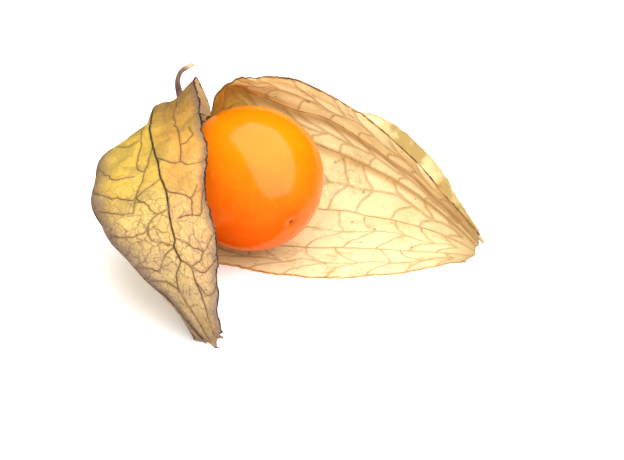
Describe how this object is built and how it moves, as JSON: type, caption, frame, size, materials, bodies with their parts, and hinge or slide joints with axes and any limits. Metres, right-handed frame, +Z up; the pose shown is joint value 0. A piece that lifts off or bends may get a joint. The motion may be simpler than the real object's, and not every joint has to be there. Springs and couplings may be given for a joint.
{
  "type": "physalis berry in its husk",
  "caption": "Ripe orange physalis berry lying in its dry, papery husk, torn open into a short and a long petal, with a thin curved stem.",
  "frame": {"origin": "on the ground, on the flat spot of the husk straight below the middle of the berry", "axes": "+Z up; +X towards the tip of the longer petal; the shorter petal hangs towards -Y, and the stem leaves at the back left"},
  "size_m": [0.053, 0.0426, 0.0229],
  "materials": {
    "berry_skin": "waxy",
    "dry_husk": "matte",
    "dry_stem": "matte"
  },
  "bodies": {
    "root": {"berry": "berry_skin", "husk": "dry_husk", "stem": "dry_stem"}
  },
  "joints": []
}
